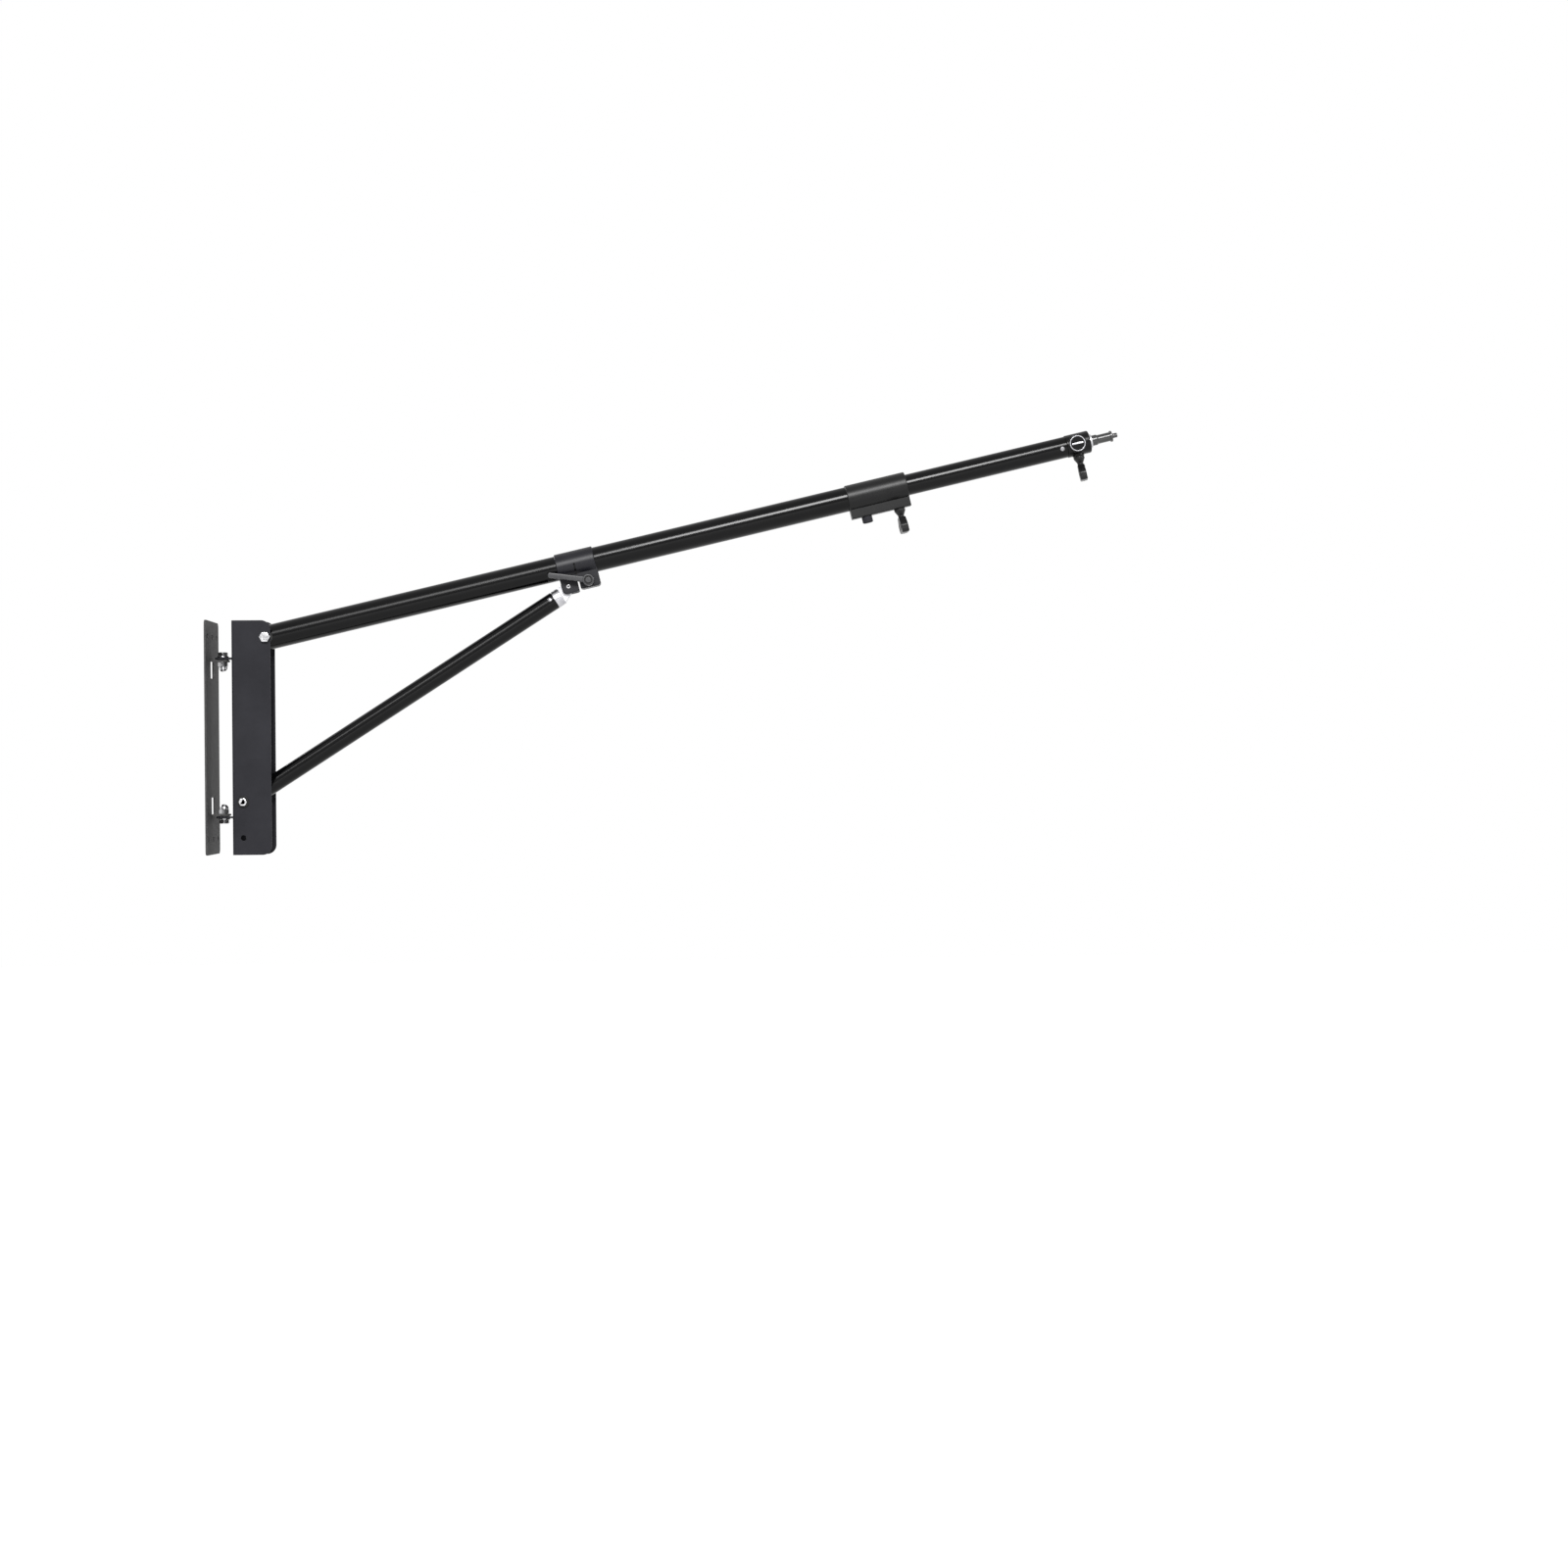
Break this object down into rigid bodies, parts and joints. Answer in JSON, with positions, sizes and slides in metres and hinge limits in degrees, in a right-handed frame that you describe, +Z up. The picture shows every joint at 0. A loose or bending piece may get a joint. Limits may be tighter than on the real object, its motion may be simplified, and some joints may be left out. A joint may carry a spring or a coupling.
{
  "type": "wall boom arm",
  "caption": "Wall-mounted swivelling boom arm with a braced, telescoping tube and a stud at its tip for a studio light.",
  "frame": {"origin": "centre of the wall plate's back face, on the wall", "axes": "+X away from the wall, +Z up, +Y to the arm's left as seen from the wall"},
  "size_m": [1.2853, 0.104, 0.5944],
  "materials": {
    "plate_steel": "matt dark grey-black powder coat",
    "gloss_tube": "gloss black",
    "black_casting": "satin black",
    "grey_casting": "satin dark grey",
    "black_plastic": "matt moulded",
    "nylon": "plain moulded",
    "bright_zinc": "bright plated",
    "bright_aluminium": "machined"
  },
  "bodies": {
    "wall_mount": {"wall_plate": "plate_steel", "upper_swivel_bolt": "bright_zinc", "upper_swivel_nut": "bright_zinc", "upper_swivel_washer": "nylon", "upper_head_washer": "bright_zinc", "lower_swivel_bolt": "bright_zinc", "lower_swivel_nut": "bright_zinc", "lower_swivel_washer": "nylon", "lower_head_washer": "bright_zinc"},
    "bracket": {"swivel_bracket": "plate_steel", "boom_pivot_bolt": "bright_zinc", "boom_pivot_nut": "bright_zinc", "boom_pivot_washer_near": "nylon", "boom_pivot_washer_far": "nylon", "brace_pivot_bolt": "bright_zinc", "brace_pivot_nut": "bright_zinc", "brace_pivot_washer": "black_plastic", "brace_pivot_spacer_near": "nylon", "brace_pivot_spacer_far": "nylon"},
    "boom": {"main_tube": "gloss_tube", "boom_root_plug": "black_plastic", "guide_bush": "nylon", "extension_collar": "black_casting", "collar_fixing_bolt": "plate_steel"},
    "slide_collar_unit": {"slide_collar": "grey_casting", "brace_pin": "bright_zinc", "brace_pin_nut": "bright_zinc", "clamp_bolt": "bright_zinc"},
    "lever": {"clamp_lever": "grey_casting", "lever_screw": "bright_zinc"},
    "brace": {"brace_tube": "gloss_tube", "brace_end_plug": "bright_aluminium", "brace_foot": "bright_aluminium", "brace_plug_rivet": "bright_aluminium"},
    "extension": {"extension_tube": "gloss_tube", "extension_tail_plug": "black_plastic", "tip_head": "black_casting", "side_cap_near": "bright_aluminium", "side_cap_far": "bright_aluminium", "head_rivet_near": "bright_aluminium", "head_rivet_far": "bright_aluminium"},
    "collar_knob": {"extension_knob": "black_plastic", "extension_knob_screw": "bright_zinc", "extension_knob_pad": "nylon"},
    "head_knob": {"tip_knob": "black_plastic", "tip_knob_screw": "bright_zinc"},
    "stud": {"spigot_stud": "black_casting", "spigot_flange": "bright_aluminium"}
  },
  "joints": [
    {"name": "bracket_swivel", "type": "hinge", "parent": "wall_mount", "child": "bracket", "pos_m": [0.0177, 0, 0], "axis": [0, 0, 1], "range_deg": [-65, 65]},
    {"name": "boom_tilt", "type": "hinge", "parent": "bracket", "child": "boom", "pos_m": [0.0795, 0, 0.1405], "axis": [0, -1, 0], "range_deg": [-20, 20]},
    {"name": "collar_slide", "type": "slide", "parent": "boom", "child": "slide_collar_unit", "axis": [0.9734, 0, 0.2292], "range_m": [-0.066, 0.066]},
    {"name": "brace_swing", "type": "hinge", "parent": "slide_collar_unit", "child": "brace", "pos_m": [0.50312, 0, 0.21046], "axis": [0, -1, 0], "range_deg": [-3.5, 3.5]},
    {"name": "lever_turn", "type": "hinge", "parent": "slide_collar_unit", "child": "lever", "pos_m": [0.53141, 0, 0.21856], "axis": [0, 1, 0], "range_deg": [-20, 150]},
    {"name": "extension_slide", "type": "slide", "parent": "boom", "child": "extension", "axis": [0.9734, 0, 0.2292], "range_m": [-0.22, 0.5]},
    {"name": "collar_knob_turn", "type": "hinge", "parent": "boom", "child": "collar_knob", "pos_m": [0.96586, 0, 0.34921], "axis": [0.2292, 0, -0.9734], "continuous": true},
    {"name": "head_knob_turn", "type": "hinge", "parent": "extension", "child": "head_knob", "pos_m": [1.22575, 0, 0.41041], "axis": [0.2292, 0, -0.9734], "continuous": true},
    {"name": "stud_turn", "type": "hinge", "parent": "extension", "child": "stud", "pos_m": [1.24463, 0, 0.41485], "axis": [0.9734, 0, 0.2292], "continuous": true}
  ],
  "couplings": [
    {"joint": "collar_slide", "follows": "boom_tilt", "m_per_rad": -0.185},
    {"joint": "brace_swing", "follows": "boom_tilt", "ratio": -0.16}
  ]
}
